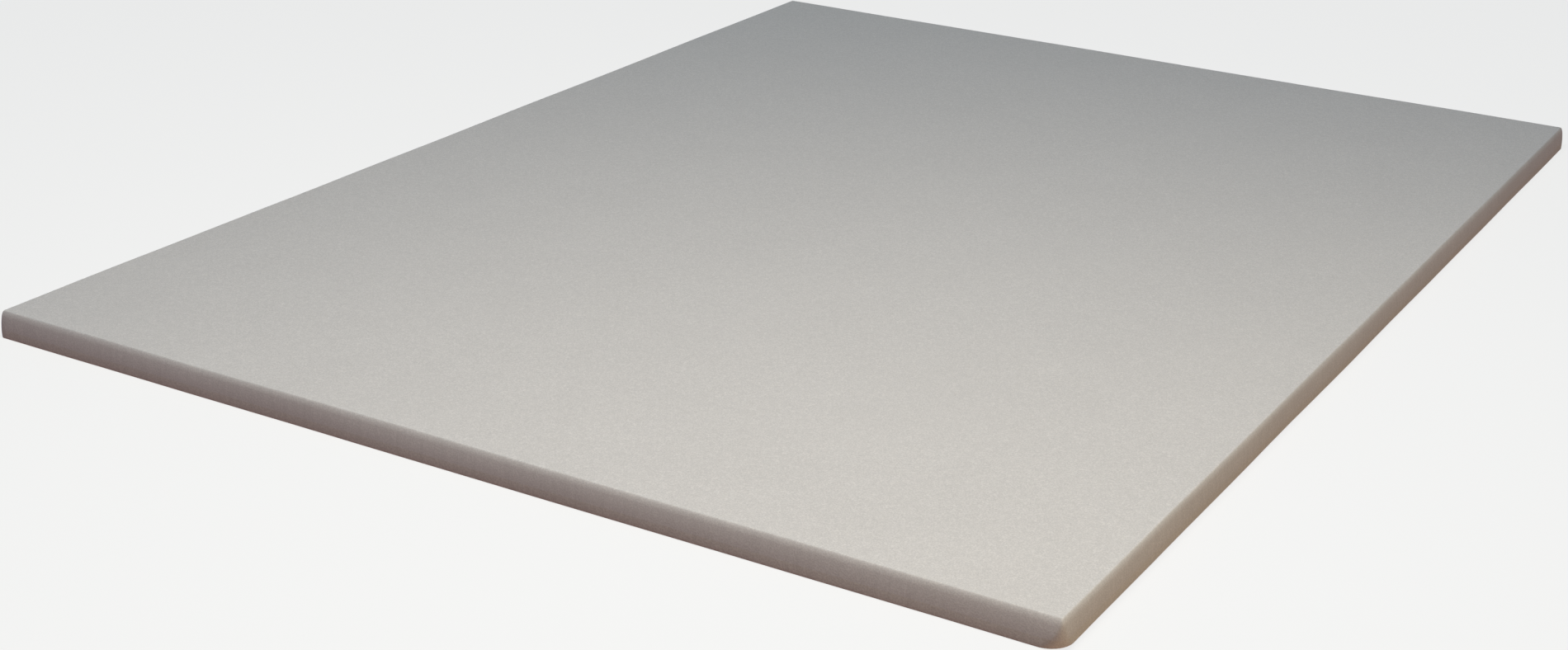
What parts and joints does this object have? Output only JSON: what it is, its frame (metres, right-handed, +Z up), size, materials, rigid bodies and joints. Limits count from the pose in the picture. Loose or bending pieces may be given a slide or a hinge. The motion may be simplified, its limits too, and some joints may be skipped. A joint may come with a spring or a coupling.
{
  "type": "memory foam mattress",
  "caption": "Thin rectangular memory foam mattress without a cover: a slow-recovery foam slab glued on a firmer foam base, with knife-cut sides and softened rims.",
  "frame": {"origin": "centre of the underside, where the mattress lies on a bed base or a floor", "axes": "+X across the width, +Y along the length, +Z up towards the sleeper"},
  "size_m": [1.524, 2.032, 0.038],
  "materials": {
    "memory_foam": "matte",
    "lamination_glue": "satin",
    "base_foam": "matte"
  },
  "bodies": {
    "root": {"memory_foam_layer": "memory_foam", "lamination_glue": "lamination_glue", "base_foam_layer": "base_foam"}
  },
  "joints": []
}
